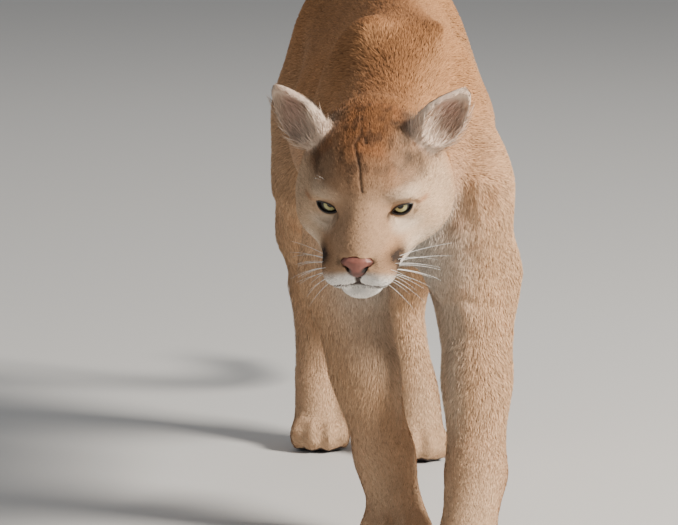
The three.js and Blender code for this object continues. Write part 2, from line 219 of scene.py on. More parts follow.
# %% Remesh and thin
remesh = skin.modifiers.new("one surface", "REMESH")
remesh.mode = "VOXEL"
remesh.voxel_size = VOXEL


def apply_modifiers(obj):
    graph = bpy.context.evaluated_depsgraph_get()
    mesh = bpy.data.meshes.new_from_object(obj.evaluated_get(graph))
    obj.modifiers.clear()
    obj.data = mesh
    return mesh


apply_modifiers(skin)
print("skin after the remesh:", len(skin.data.polygons), "faces")


def neighbours_mean(mesh, values, rounds, strength=0.5, hold=None):
    """Averages values over each vertex's neighbours. Where hold is 1 a vertex keeps its own value."""
    ends = np.empty(len(mesh.edges) * 2, np.int64)
    mesh.edges.foreach_get("vertices", ends)
    a, b = ends.reshape(-1, 2).T
    count = len(mesh.vertices)
    share = np.bincount(a, minlength=count) + np.bincount(b, minlength=count)
    share = np.maximum(share, 1)[:, None]
    values = values.astype(float)
    give = np.full((count, 1), strength) if hold is None else strength * (1 - hold[:, None])
    for _ in range(rounds):
        total = np.stack(
            [
                np.bincount(a, values[b, k], count) + np.bincount(b, values[a, k], count)
                for k in range(values.shape[1])
            ],
            axis=1,
        )
        values = values + give * (total / share - values)
    return values


def rise(values, start, end):
    """0 at start, 1 at end, with a soft bend at both."""
    t = np.clip((values - start) / (end - start), 0, 1)
    return t * t * (3 - 2 * t)


def share_of_head(points):
    """1 on the head and 0 on the body. The height keeps the forefeet out, which stand as far forward."""
    p = in_head(points)
    return (1 - rise(p[:, 1], 0.085, 0.15)) * rise(p[:, 2], -0.16, -0.12)


VOXEL_STEP_ROUNDS = 14
HEAD_HOLD = 0.82
GROUP_LEVELS = 10
places = vertex_places(skin.data)
headness = share_of_head(places)
smoothed = neighbours_mean(skin.data, places, VOXEL_STEP_ROUNDS, hold=headness * HEAD_HOLD)
set_vertex_places(skin.data, smoothed)

thin_group = skin.vertex_groups.new(name="body")
for step in range(GROUP_LEVELS + 1):
    members = np.nonzero(np.round((1 - headness) * GROUP_LEVELS) == step)[0]
    thin_group.add(members.tolist(), step / GROUP_LEVELS, "REPLACE")
thin = skin.modifiers.new("thin the body", "DECIMATE")
thin.ratio = 0.20
thin.vertex_group = thin_group.name
thin.vertex_group_factor = 1.0
apply_modifiers(skin)
skin.vertex_groups.clear()
print("skin after thinning:", len(skin.data.polygons), "faces")

# %% [markdown]
# ## Softening the body
# The solids meet in seams that a coat would hide. Plain smoothing would round them over, but would thin the
# legs and the tail too. So each softening is followed by a like step outwards. Only what lies above the
# elbows, and most of all the stretch over the shoulder blades, is then smoothed without that step.

# %% Soften seams and facets
FACET_ROUNDS = 7
STEP_OUT = -0.52
TRUNK_ROUNDS = 9
BLADE_ROUNDS = 80
places = vertex_places(skin.data)
headness = share_of_head(places)
for _ in range(FACET_ROUNDS):
    places = neighbours_mean(skin.data, places, 1, hold=headness)
    places = neighbours_mean(skin.data, places, 1, strength=STEP_OUT, hold=headness)
upper = rise(places[:, 2], 0.36, 0.46) * (1 - headness)
places = neighbours_mean(skin.data, places, TRUNK_ROUNDS, hold=1 - upper)
over_blades = rise(places[:, 2], 0.52, 0.60) * (1 - rise(places[:, 1] - between_eyes.y, 0.70, 0.85))
places = neighbours_mean(skin.data, places, BLADE_ROUNDS, hold=1 - over_blades * (1 - headness))
set_vertex_places(skin.data, places)
print("skin softened, height:", round(float(np.ptp(places[:, 2])), 3), "m")

# %% [markdown]
# ## The face
# The face needs folds finer than the voxels. A finer remesh of the whole animal would cost far too many
# faces, so only the edges of the face are split, once, and the new surface is smoothed.


# %% One piece, with a finer face
def keep_largest_piece(bm):
    """Drops loose scraps: walks from vertex to vertex and keeps the largest piece."""
    unseen = set(bm.verts)
    largest = []
    while unseen:
        piece = [unseen.pop()]
        for vertex in piece:
            for edge in vertex.link_edges:
                other = edge.other_vert(vertex)
                if other in unseen:
                    unseen.remove(other)
                    piece.append(other)
        if len(piece) > len(largest):
            largest = piece
    kept = set(largest)
    bmesh.ops.delete(bm, geom=[v for v in bm.verts if v not in kept], context="VERTS")


FACE_BACK = 0.016
CHIN_LOW = -0.115
face_bm = bmesh.new()
face_bm.from_mesh(skin.data)
keep_largest_piece(face_bm)
face_bm.verts.ensure_lookup_table()
head_co = [world_to_head @ v.co for v in face_bm.verts]
on_face = [co.y < FACE_BACK and co.z > CHIN_LOW for co in head_co]
face_edges = [e for e in face_bm.edges if all(on_face[v.index] for v in e.verts)]
bmesh.ops.subdivide_edges(face_bm, edges=face_edges, cuts=1, use_grid_fill=True)
bmesh.ops.triangulate(face_bm, faces=[f for f in face_bm.faces if len(f.verts) > 3])
face_bm.to_mesh(skin.data)
face_bm.free()
places = vertex_places(skin.data)
facing = (1 - rise(in_head(places)[:, 1], 0.02, 0.05)) * rise(in_head(places)[:, 2], -0.13, -0.11)
places = neighbours_mean(skin.data, places, 3, hold=1 - facing * 0.9)
set_vertex_places(skin.data, places)
print("skin with a finer face:", len(skin.data.polygons), "faces")

# %% [markdown]
# ## Lids
# A cat's lids close in on the ball along a slanted opening. They could be modelled as two bent strips, but
# those would need a seam. Here the skin itself is moved forwards or backwards near each eye: onto a cap
# flatter than the ball outside the opening, and behind the front of the ball within it.

# %% Eyes: the lid openings
LID_HALF_WIDTH = 0.0132
LID_UPPER = 0.0063
LID_LOWER = 0.0063
LID_SLANT = math.radians(20)
LID_TURN = math.radians(14)
SIDES = (1, -1)


def eye_centre(side):
    return np.array([side * HALF_EYES, EYE_DEPTH, 0])


def eye_axes(side):
    """The opening's own directions in the head's frame: outwards, upwards and out of the eye."""
    forward = np.array([side * math.sin(LID_TURN), -math.cos(LID_TURN), 0])
    level = np.array([side * math.cos(LID_TURN), math.sin(LID_TURN), 0])
    up = np.array([0.0, 0.0, 1.0])
    outward = level * math.cos(LID_SLANT) + up * math.sin(LID_SLANT)
    raised = up * math.cos(LID_SLANT) - level * math.sin(LID_SLANT)
    return outward, raised, forward


def lid_edge(outward):
    """Height of the upper and of the lower lid's edge along the opening, widest towards the nose."""
    t = np.clip(outward / LID_HALF_WIDTH, -1, 1)
    arch = np.power(np.maximum(1 - t * t, 0), 0.75)
    return arch * LID_UPPER * (1 - 0.12 * t), -arch * LID_LOWER * (1 + 0.10 * t)


def outside_lids(outward, raised):
    """Distance from the opening's edge, below 0 in the opening."""
    upper, lower = lid_edge(outward)
    over = np.maximum(raised - upper, lower - raised)
    beyond = np.maximum(np.abs(outward) - LID_HALF_WIDTH, 0)
    return np.where(beyond > 0, np.hypot(beyond, np.maximum(over, 0)), over * 0.85)


def from_eye(points, side):
    """Places from an eye's centre along its outward, upward and forward directions."""
    return (points - eye_centre(side)) @ np.stack(eye_axes(side), axis=1)


LID_FRONT = EYE_RADIUS + 0.0019
LID_BEND = 21.0
EYE_CLEARANCE = 0.0018


def lid_surface(outward, raised):
    """How far forward the lids lie: a cap flatter than the eyeball, so that the corners come forward."""
    return LID_FRONT - LID_BEND * (outward**2 + 0.75 * raised**2)


head_places = in_head(vertex_places(skin.data))
lid_gap = np.full(len(head_places), 1.0)
for side in SIDES:
    local = from_eye(head_places, side)
    near = (np.hypot(local[:, 0], local[:, 1]) < 0.030) & (local[:, 2] > 0.001)
    gap = outside_lids(local[:, 0], local[:, 1])
    lid_gap[near] = np.minimum(lid_gap[near], gap[near])
    lid = lid_surface(local[:, 0], local[:, 1])
    ball = np.sqrt(np.maximum(EYE_RADIUS**2 - local[:, 0] ** 2 - local[:, 1] ** 2, 0))
    inner = np.maximum(ball - EYE_CLEARANCE, lid - 0.0045)
    blend = rise(gap, 0.0010, 0.0090)
    wanted = np.where(gap < -0.0005, inner, lid * (1 - blend) + local[:, 2] * blend)
    shift = np.where(near, wanted - local[:, 2], 0)
    head_places = head_places + shift[:, None] * eye_axes(side)[2]


def to_world(points):
    m = np.array(head_to_world)
    return points @ m[:3, :3].T + m[:3, 3]


set_vertex_places(skin.data, to_world(head_places))
print("vertices in the eye openings:", int((lid_gap < 0).sum()))


# %% [markdown]
# ## Mouth and furrow
# The closed mouth is a fold that runs from under the nose round each pad to the corner; its dark line is the
# lip's own dark skin and painted shade of the fold. The furrow is a crease up the forehead, darkened by
# painted shade. Both are given as curves of a few points, laid onto the skin, and pressed in by distance from
# the curve, which keeps the folds soft.

# %% Curves that lie on the skin
def skin_tree():
    mesh = skin.data
    mesh.calc_loop_triangles()
    corners = [v.co[:] for v in mesh.vertices]
    return BVHTree.FromPolygons(corners, [t.vertices[:] for t in mesh.loop_triangles])


def on_skin(tree, points, step=0.001):
    """A line through a few points of the head's frame, in short steps, laid onto the skin."""
    points = np.array(points)
    laid = []
    for a, b in zip(points[:-1], points[1:]):
        count = max(2, int(np.linalg.norm(b - a) / step))
        for t in np.linspace(0, 1, count, endpoint=False):
            near = tree.find_nearest(head_to_world @ Vector(a + (b - a) * t))[0]
            laid.append((world_to_head @ near)[:])
    return np.array(laid)


def nearest(points, line):
    """Distance from each point to the nearest step of a line."""
    best = np.full(len(points), 1.0)
    for step in line:
        best = np.minimum(best, np.linalg.norm(points - step, axis=1))
    return best


MOUTH = [
    (0, -0.078, -0.0605), (0.007, -0.080, -0.0615), (0.013, -0.085, -0.0605), (0.021, -0.088, -0.0585),
    (0.033, -0.081, -0.0625),
]
MOUTH_CORNER = [
    (0.033, -0.081, -0.0625), (0.039, -0.070, -0.0625), (0.043, -0.050, -0.0585), (0.047, -0.022, -0.054),
]
PHILTRUM = [(0, -0.090, -0.045), (0, -0.084, -0.052), (0, -0.078, -0.0605)]
FURROW = [
    (-0.009, 0.070, 0.074), (-0.005, 0.040, 0.068), (-0.0105, 0.025, 0.061), (-0.0085, 0.018, 0.057),
    (-0.002, 0.002, 0.045), (-0.001, -0.006, 0.036), (0.001, -0.014, 0.024),
]
SIDE_FURROW = [(-0.005, 0.040, 0.068), (0.0005, 0.031, 0.065), (0.0015, 0.024, 0.061)]


def mirror(points):
    return [(-x, y, z) for x, y, z in points]


tree = skin_tree()
mouth_line = np.concatenate(
    [on_skin(tree, line) for line in (MOUTH, mirror(MOUTH), MOUTH_CORNER, mirror(MOUTH_CORNER), PHILTRUM)]
)
furrow_line = np.concatenate([on_skin(tree, FURROW), on_skin(tree, SIDE_FURROW)])
print("steps of the mouth line:", len(mouth_line), "| of the furrow:", len(furrow_line))


# %% Press in the folds
def vertex_normals(mesh):
    normals = np.empty(len(mesh.vertices) * 3, np.float32)
    mesh.vertices.foreach_get("normal", normals)
    return normals.reshape(-1, 3).astype(float)


def egg_mask(points, centre, radii, soft=0.35):
    """1 inside an ellipsoid, fading to 0 outside it."""
    reach = np.linalg.norm((points - np.array(centre)) / np.array(radii), axis=1)
    return 1 - rise(reach, 1 - soft, 1 + soft)


def both_sides(points, centre, radii, soft=0.35):
    one_side = points.copy()
    one_side[:, 0] = np.abs(one_side[:, 0])
    return egg_mask(one_side, centre, radii, soft)


head_places = in_head(vertex_places(skin.data))
front = head_places[:, 1] < 0.08
mouth_distance = np.full(len(head_places), 1.0)
mouth_distance[front] = nearest(head_places[front], mouth_line)
furrow_distance = np.full(len(head_places), 1.0)
furrow_distance[front] = nearest(head_places[front], furrow_line)
press = 0.0030 * np.exp(-((mouth_distance / 0.0022) ** 2))
press += 0.0012 * np.exp(-((furrow_distance / 0.0018) ** 2))
# The brow ridge stands out, with a fold under it, and a second fold runs below the eye
press -= 0.0016 * both_sides(head_places, (0.040, -0.004, 0.021), (0.020, 0.016, 0.007))
press += 0.0014 * both_sides(head_places, (0.042, -0.006, 0.0125), (0.017, 0.012, 0.0028))
press += 0.0011 * both_sides(head_places, (0.041, -0.006, -0.0135), (0.016, 0.012, 0.0028))
places = vertex_places(skin.data) - vertex_normals(skin.data) * press[:, None]
set_vertex_places(skin.data, places)

# %% [markdown]
# ## Regions of the coat
# The coat changes from part to part of the body. It could be given by painted maps, but the solids already
# say what is where: each vertex takes its region from the nearest solid, and the regions are then blended
# over neighbours, which keeps their borders soft.

# %% Regions from the solids
REGION_ROUNDS = 26
REGIONS = ("head", "ear", "neck", "torso", "foreleg", "hindleg", "paw", "tail", "tip")
REGION_OF = {
    "head": "head", "jaw": "head", "nose": "head", "ear_left": "ear", "ear_right": "ear",
    "neck": "neck", "torso": "torso", "foreleg_left": "foreleg", "foreleg_right": "foreleg",
    "hindleg_left": "hindleg", "hindleg_right": "hindleg", "forepaw_left": "paw", "forepaw_right": "paw",
    "hindpaw_left": "paw", "hindpaw_right": "paw", "tail_root": "tail", "tail_tip": "tip",
}


def nodes_tree():
    """One search tree over all solids, with each triangle's region."""
    corners, triangles, labels = [], [], []
    for node, region in REGION_OF.items():
        mesh = nodes[node].data
        mesh.calc_loop_triangles()
        start = len(corners)
        corners += [v.co[:] for v in mesh.vertices]
        triangles += [tuple(start + i for i in t.vertices) for t in mesh.loop_triangles]
        labels += [REGIONS.index(region)] * len(mesh.loop_triangles)
    return BVHTree.FromPolygons(corners, triangles), np.array(labels)


solids, solid_labels = nodes_tree()
places = vertex_places(skin.data)
vertex_region = np.array([solid_labels[solids.find_nearest(Vector(p))[2]] for p in places])
share = np.zeros((len(places), len(REGIONS)))
share[np.arange(len(places)), vertex_region] = 1
share = neighbours_mean(skin.data, share, REGION_ROUNDS)
print({name: int((vertex_region == k).sum()) for k, name in enumerate(REGIONS)})


def region(shares, name):
    return shares[:, REGIONS.index(name)]


# %% Places on the body
HEAD_IN_PART = Vector((-0.070, -0.400, 0.498))
to_frame = np.array(between_eyes - HEAD_IN_PART)


def at(x, y, z):
    """A place of the part's own drawing, in millimetres, in this frame."""
    return np.array([x, y, z]) / 1000 + to_frame


TAIL = [
    at(0, 630, 618), at(0, 690, 612), at(0, 752, 556), at(2, 796, 462), at(6, 830, 358),
    at(12, 880, 258), at(20, 958, 184), at(30, 1048, 160), at(40, 1126, 188),
]


def along_line(points, line):
    """Direction of the nearest length of a line, and how far along it lies, from 0 to 1."""
    best = np.full(len(points), 1e9)
    direction = np.zeros((len(points), 3))
    station = np.zeros(len(points))
    for k, (a, b) in enumerate(zip(line[:-1], line[1:])):
        way = b - a
        t = np.clip(((points - a) @ way) / (way @ way), 0, 1)
        distance = np.linalg.norm(points - (a + t[:, None] * way), axis=1)
        closer = distance < best
        best[closer] = distance[closer]
        direction[closer] = way / np.linalg.norm(way)
        station[closer] = (k + t[closer]) / (len(line) - 1)
    return direction, station


# %% [markdown]
# ## Lie and depth of the coat
# Hair streams away from the nose on the head, backwards on the trunk, down the legs and along the tail. That
# makes a field of directions over the skin. Averaging it over neighbours lets the streams flow into one
# another. The skin is then drawn in by the depth of its coat, so that the tufts end near the solids' outline.

# %% The lie of the coat
LIE_ROUNDS = 20
NOSE_TIP = np.array([0, -0.100, -0.036])


def flat_on(directions, normals):
    """Directions laid into the surface and made one long."""
    flat = directions - (directions * normals).sum(axis=1)[:, None] * normals
    return flat / np.maximum(np.linalg.norm(flat, axis=1), 1e-6)[:, None]


def lie_of_coat(points, shares):
    head_points = in_head(points)
    away = head_points - NOSE_TIP
    away[:, 2] -= 0.25 * np.abs(away[:, 1]) * (head_points[:, 2] < -0.03)
    away /= np.linalg.norm(away, axis=1)[:, None]
    ear = np.tile([0.0, 0.25, 0.97], (len(points), 1))
    ear[:, 0] = np.sign(head_points[:, 0]) * 0.5
    height = rise(points[:, 2], 0.28, 0.50)[:, None]
    leg = (1 - height) * np.array([0, 0.18, -1]) + height * np.array([0, 0.95, -0.42])
    tail_way = along_line(points, TAIL)[0]
    return (
        turned_to_world(away) * region(shares, "head")[:, None]
        + turned_to_world(ear) * region(shares, "ear")[:, None]
        + np.array([0, 0.95, -0.32]) * (region(shares, "neck") + region(shares, "torso"))[:, None]
        + leg * (region(shares, "foreleg") + region(shares, "hindleg"))[:, None]
        + np.array([0, -0.75, -0.62]) * region(shares, "paw")[:, None]
        + tail_way * (region(shares, "tail") + region(shares, "tip"))[:, None]
    )


normals = vertex_normals(skin.data)
lie = flat_on(lie_of_coat(places, share), normals)
lie = flat_on(neighbours_mean(skin.data, lie, LIE_ROUNDS), normals)

# %% Depth of the coat, and the skin drawn in by it
# Depth, length of a tuft and spacing of the roots
COAT = {
    "head": (0.0016, 0.0072, 0.00148), "ear": (0.0004, 0.0060, 0.00150), "neck": (0.0048, 0.0150, 0.00200),
    "torso": (0.0040, 0.0125, 0.00210), "foreleg": (0.0024, 0.0092, 0.00190),
    "hindleg": (0.0026, 0.0098, 0.00198),
    "paw": (0.0013, 0.0056, 0.00162), "tail": (0.0042, 0.0140, 0.00205), "tip": (0.0048, 0.0170, 0.0020),
}
coat_numbers = np.array([COAT[name] for name in REGIONS])
coat_depth, coat_length, coat_spacing = (share @ coat_numbers).T
head_places = in_head(places)
face_front = (1 - rise(head_places[:, 1], -0.02, 0.06)) * region(share, "head")
coat_depth *= 1 - 0.6 * face_front
coat_length *= 1 - 0.42 * face_front
coat_spacing *= 1 - 0.14 * face_front
near_lids = 1 - rise(lid_gap, 0.0, 0.006)
coat_depth *= 1 - near_lids
coat_length *= 1 - 0.45 * near_lids
set_vertex_places(skin.data, places - normals * coat_depth[:, None])
skin_normals = vertex_normals(skin.data)
print("coat depth from", round(coat_depth.min() * 1000, 2), "to", round(coat_depth.max() * 1000, 2), "mm")

# %% [markdown]
# ## Markings, and painted shade in folds
# One function gives the colour of the coat at any place, from its region, its height, its facing and a few
# egg-shaped patches set in the head's frame. Skin and tufts both ask it, so they can't drift apart.

# %% Soft noise
LATTICE = rng.random((32, 32, 32))


def soft_noise(points, size, shift=0.0):
    """Values from 0 to 1 that change smoothly over about the given size."""
    scaled = points / size + shift
    cell = np.floor(scaled).astype(int)
    part = scaled - cell
    part = part * part * (3 - 2 * part)
    total = np.zeros(len(points))
    for corner in np.ndindex(2, 2, 2):
        weight = np.prod(np.where(corner, part, 1 - part), axis=1)
        i, j, k = ((cell + corner) % 32).T
        total += weight * LATTICE[i, j, k]
    return total


# %% Tones of the coat
TAWNY = (0.420, 0.205, 0.090)
SPINE = (0.270, 0.112, 0.042)
FLANK = (0.540, 0.318, 0.182)
LEG = (0.600, 0.375, 0.215)
FOOT = (0.640, 0.430, 0.265)
PALE = (0.720, 0.570, 0.420)
THROAT = (0.500, 0.455, 0.400)
WHITE = (0.840, 0.790, 0.725)
CROWN = (0.235, 0.098, 0.038)
BROW_GREY = (0.310, 0.195, 0.118)
BRIDGE = (0.410, 0.250, 0.145)
CHEEK = (0.600, 0.410, 0.260)
RUST = (0.330, 0.130, 0.050)
DARK = (0.045, 0.030, 0.022)
# Near black: the black skin of the lid margins and rims, and painted shade in the nostril openings
BLACK_SKIN_AND_SHADE = (0.022, 0.018, 0.016)
EAR_PINK = (0.560, 0.350, 0.270)
EAR_CREAM = (0.740, 0.570, 0.440)
# Dark lip skin, also used as painted shade in the mouth's fold
LIP_AND_FOLD_SHADE = (0.060, 0.040, 0.034)
SOLE = (0.060, 0.045, 0.040)
WHISKER = (0.820, 0.800, 0.760)


def painted(under, tone, amount):
    """Lays a tone over another by an amount from 0 to 1 at each point."""
    amount = np.clip(amount, 0, 1)[:, None]
    return under * (1 - amount) + np.array(tone) * amount


def body_colour(points, facing, shares):
    tone = np.tile(TAWNY, (len(points), 1)).astype(float)
    broad = soft_noise(points, 0.09)
    fine = soft_noise(points * np.array([1, 1, 0.45]), 0.016, 3.7)
    low = 1 - rise(points[:, 2] + 0.05 * (broad - 0.5), 0.40, 0.62)
    tone = painted(tone, FLANK, 0.75 * low + 0.5 * (1 - rise(facing[:, 2], -0.1, 0.5)))
    tone = painted(tone, SPINE, 0.7 * rise(facing[:, 2], 0.75, 0.98) * (1 - low))
    legs = region(shares, "foreleg") + region(shares, "hindleg")
    tone = painted(tone, LEG, legs * 0.92 * low)
    middle_line = 1 - rise(np.abs(points[:, 0] - to_frame[0]), 0.03, 0.085)
    inner = rise(-facing[:, 0] * np.sign(points[:, 0] - to_frame[0]), 0.25, 0.8)
    tone = painted(tone, PALE, 0.75 * legs * inner * low * (1 - 0.5 * middle_line))
    under = rise(-facing[:, 2], 0.25, 0.75)
    tone = painted(tone, PALE, 0.85 * under * (region(shares, "torso") + region(shares, "neck")))
    chest = egg_mask(points, at(-20, -150, 350), (0.090, 0.16, 0.13), 0.6)
    tone = painted(tone, THROAT, 0.96 * chest * rise(-facing[:, 1] - 0.5 * facing[:, 2], -0.30, 0.3))
    tone = painted(tone, FOOT, 0.85 * (1 - rise(points[:, 2], 0.05, 0.24)))
    streaks = rise(fine, 0.55, 0.9) * rise(broad, 0.35, 0.7)
    tone = painted(tone, RUST, 0.30 * streaks * legs * rise(points[:, 2], 0.2, 0.34) * low)
    tone = painted(tone, DARK, 0.97 * rise(region(shares, "tip"), 0.25, 0.8))
    tone = painted(tone, SPINE, 0.5 * region(shares, "tail") * rise(facing[:, 2] + facing[:, 1], 0.1, 0.9))
    return tone * (0.90 + 0.20 * broad)[:, None] * (0.94 + 0.12 * fine)[:, None]


def head_colour(p):
    """Colour at places of the head's frame. Patches are mirrored from one side of the face to the other."""
    u = np.abs(p[:, 0])
    blotch = soft_noise(p, 0.011, 1.3)
    fine = soft_noise(p, 0.0042, 5.1)
    high = rise(p[:, 2], 0.020, 0.050)
    tone = np.tile(BRIDGE, (len(p), 1)).astype(float)
    tone = painted(tone, CHEEK, rise(u, 0.040, 0.066) * (1 - high) * 0.9)
    tone = painted(tone, TAWNY, rise(p[:, 1], 0.05, 0.11) * 0.8)
    tone = painted(tone, CROWN, high * (0.45 + 0.5 * rise(p[:, 2], 0.04, 0.075)))
    tone = painted(tone, BROW_GREY, high * rise(u, 0.018, 0.050) * (0.45 + 0.5 * blotch))
    streak = soft_noise(p * np.array([1, 0.45, 0.45]), 0.0062, 4.4)
    tone = painted(tone, RUST, high * 0.45 * rise(soft_noise(p, 0.02, 9.2), 0.45, 0.8))
    tone = painted(tone, DARK, high * 0.50 * rise(blotch * 0.45 + streak * 0.55, 0.46, 0.74))
    temple = both_sides(p, (0.062, 0.026, 0.048), (0.016, 0.03, 0.024), 0.8)
    tone = painted(tone, DARK, 0.34 * temple * (0.1 + 1.3 * blotch))
    # Patches round the eyes
    tone = painted(tone, PALE, 0.52 * both_sides(p, (0.044, -0.002, 0.0195), (0.019, 0.020, 0.0085), 0.7))
    tone = painted(tone, PALE, 0.72 * both_sides(p, (0.045, -0.008, -0.0160), (0.020, 0.022, 0.0075), 0.7))
    tone = painted(tone, RUST, 0.66 * both_sides(p, (0.0640, 0.012, 0.0060), (0.0095, 0.012, 0.0034), 0.6))
    tone = painted(tone, DARK, 0.90 * both_sides(p, (0.0265, -0.013, -0.0070), (0.0050, 0.013, 0.0100), 0.6))
    tone = painted(tone, DARK, 0.36 * both_sides(p, (0.022, -0.028, -0.022), (0.0060, 0.018, 0.018), 0.7))
    # Painted shade in the groove that runs on from each nostril slit
    tone = painted(tone, BLACK_SKIN_AND_SHADE, 0.55 * both_sides(p, (0.0215, -0.082, -0.0305), (0.0024, 0.010, 0.0042), 0.7))
    # Muzzle: white pads and chin with a dark patch at the whiskers' back
    tone = painted(tone, PALE, 0.75 * both_sides(p, (0.055, 0.010, -0.050), (0.030, 0.045, 0.022), 0.6))
    tone = painted(tone, TAWNY, 0.55 * both_sides(p, (0.036, -0.052, -0.034), (0.013, 0.025, 0.013), 0.7))
    tone = painted(tone, WHITE, both_sides(p, (0.012, -0.080, -0.0580), (0.030, 0.030, 0.0165), 0.30))
    tone = painted(tone, WHITE, 0.95 * egg_mask(p, (0, -0.058, -0.080), (0.040, 0.040, 0.022), 0.35))
    tone = painted(tone, WHITE, 0.7 * both_sides(p, (0.030, -0.010, -0.082), (0.030, 0.06, 0.022), 0.6))
    patch = both_sides(p, (0.0430, -0.050, -0.043), (0.013, 0.022, 0.016), 0.55)
    patch += 0.6 * both_sides(p, (0.0335, -0.060, -0.034), (0.010, 0.018, 0.008), 0.7)
    tone = painted(tone, DARK, patch * (0.62 + 0.6 * fine))
    rows = np.sin(p[:, 2] * 1150 + u * 180) * np.sin((p[:, 1] + u) * 900)
    dots = rise(rows, 0.66, 0.9) * both_sides(p, (0.032, -0.070, -0.049), (0.014, 0.022, 0.012), 0.3)
    tone = painted(tone, DARK, 0.80 * dots)
    tone = painted(tone, THROAT, 0.8 * rise(-p[:, 2], 0.085, 0.110))
    return tone * (0.92 + 0.16 * fine)[:, None]


def ear_mouth_way(p):
    """The way an ear's opening faces on either side: forwards and a little outwards."""
    return np.stack([np.sign(p[:, 0]) * 0.42, np.full(len(p), -0.9), np.zeros(len(p))], axis=1)


def ear_colour(p, facing):
    inside = rise((facing * ear_mouth_way(p)).sum(axis=1), -0.55, -0.15)
    tone = np.tile(DARK, (len(p), 1)).astype(float)
    tone = painted(tone, BROW_GREY, 0.55 * rise(soft_noise(p, 0.02, 2.2), 0.5, 0.8))
    tone = painted(tone, EAR_CREAM, inside * 0.92)
    centre = both_sides(p, (0.092, 0.079, 0.080), (0.014, 0.018, 0.024), 0.8)
    return painted(tone, EAR_PINK, inside * centre * 0.85)


def coat_colour(points, facing, shares, mouth, furrow, lids):
    p = in_head(points)
    head_facing = turned_to_head(facing)
    body = body_colour(points, facing, shares)
    on_head = np.clip(region(shares, "head") * 1.15, 0, 1)
    ears = np.clip(region(shares, "ear") * 1.3, 0, 1)
    tone = body * (1 - on_head)[:, None] + head_colour(p) * on_head[:, None]
    tone = tone * (1 - ears)[:, None] + ear_colour(p, head_facing) * ears[:, None]
    # Painted shade along the crease of the forehead furrow
    tone = painted(tone, DARK, 0.92 * np.exp(-((furrow / 0.0016) ** 2)) * (0.6 + 0.5 * soft_noise(p, 0.006)))
    # Mouth line: the lip's own dark skin together with painted shade of the fold under the pads
    tone = painted(tone, LIP_AND_FOLD_SHADE, 0.97 * (1 - rise(mouth, 0.0014, 0.0036)))
    return painted(tone, BLACK_SKIN_AND_SHADE, 1 - rise(lids, 0.0004, 0.0026))


skin_colour = coat_colour(
    vertex_places(skin.data), skin_normals, share, mouth_distance, furrow_distance, lid_gap
)
soles = (skin_normals[:, 2] < -0.75) & (vertex_places(skin.data)[:, 2] < 0.010) & (region(share, "paw") > 0.5)
skin_colour[soles] = SOLE


def give_colour(mesh, colours):
    """Writes the colour attribute that the coat's material reads."""
    attribute = mesh.color_attributes.new("coat_colour", "FLOAT_COLOR", "POINT")
    full = np.ones((len(colours), 4), np.float32)
    full[:, :3] = np.clip(colours, 0, 1)
    attribute.data.foreach_set("color", full.ravel())


give_colour(skin.data, skin_colour)
skin.data.polygons.foreach_set("use_smooth", np.ones(len(skin.data.polygons), bool))

# %% [markdown]
# ## Materials
# Hide shows through only where the coat is thinnest, so the skin carries a fine bump in place of the
# shortest fur. The bump is a node group, since coat and nose use it at different sizes.


# %% Node groups and materials
def grain_group():
    """Bump from two sizes of noise: Scale sets the grains, Height how far they stand."""
    group = bpy.data.node_groups.new("fine grain", "ShaderNodeTree")
    group.interface.new_socket("Scale", in_out="INPUT", socket_type="NodeSocketFloat")
    group.interface.new_socket("Height", in_out="INPUT", socket_type="NodeSocketFloat")
    group.interface.new_socket("Normal", in_out="OUTPUT", socket_type="NodeSocketVector")
    node, link = group.nodes.new, group.links.new
    start, end = node("NodeGroupInput"), node("NodeGroupOutput")
    place = node("ShaderNodeTexCoord")
    fine, coarse = node("ShaderNodeTexNoise"), node("ShaderNodeTexVoronoi")
    mix, bump = node("ShaderNodeMix"), node("ShaderNodeBump")
    fine.inputs["Detail"].default_value = 3
    mix.inputs["Factor"].default_value = 0.4
    bump.inputs["Distance"].default_value = 0.0008
    link(place.outputs["Object"], fine.inputs["Vector"])
    link(place.outputs["Object"], coarse.inputs["Vector"])
    link(start.outputs["Scale"], fine.inputs["Scale"])
    link(start.outputs["Scale"], coarse.inputs["Scale"])
    link(fine.outputs["Fac"], mix.inputs["A"])
    link(coarse.outputs["Distance"], mix.inputs["B"])
    link(mix.outputs["Result"], bump.inputs["Height"])
    link(start.outputs["Height"], bump.inputs["Strength"])
    link(bump.outputs["Normal"], end.inputs["Normal"])
    return group


grain = grain_group()


def material(name, roughness, scale=None, height=0.0, specular=0.3, sheen=0.0):
    """A material that takes its colour from the attribute, with grain where a scale is given."""
    made = bpy.data.materials.new(name)
    made.use_nodes = True
    tree = made.node_tree
    shader = tree.nodes["Principled BSDF"]
    colour = tree.nodes.new("ShaderNodeAttribute")
    colour.attribute_name = "coat_colour"
    tree.links.new(colour.outputs["Color"], shader.inputs["Base Color"])
    shader.inputs["Roughness"].default_value = roughness
    shader.inputs["Specular IOR Level"].default_value = specular
    shader.inputs["Sheen Weight"].default_value = sheen
    if scale is not None:
        bump = tree.nodes.new("ShaderNodeGroup")
        bump.node_tree = grain
        bump.inputs["Scale"].default_value = scale
        bump.inputs["Height"].default_value = height
        tree.links.new(bump.outputs["Normal"], shader.inputs["Normal"])
    return made


skin_material = material("short coat", 0.82, scale=900, height=0.5, specular=0.15)
fur_material = material("fur", 0.72, specular=0.10)
nose_material = material("nose leather", 0.38, scale=1500, height=0.35, specular=0.45)
rim_material = material("lid rim", 0.30, specular=0.5)
whisker_material = material("whisker", 0.45, specular=0.4)
skin.data.materials.append(skin_material)

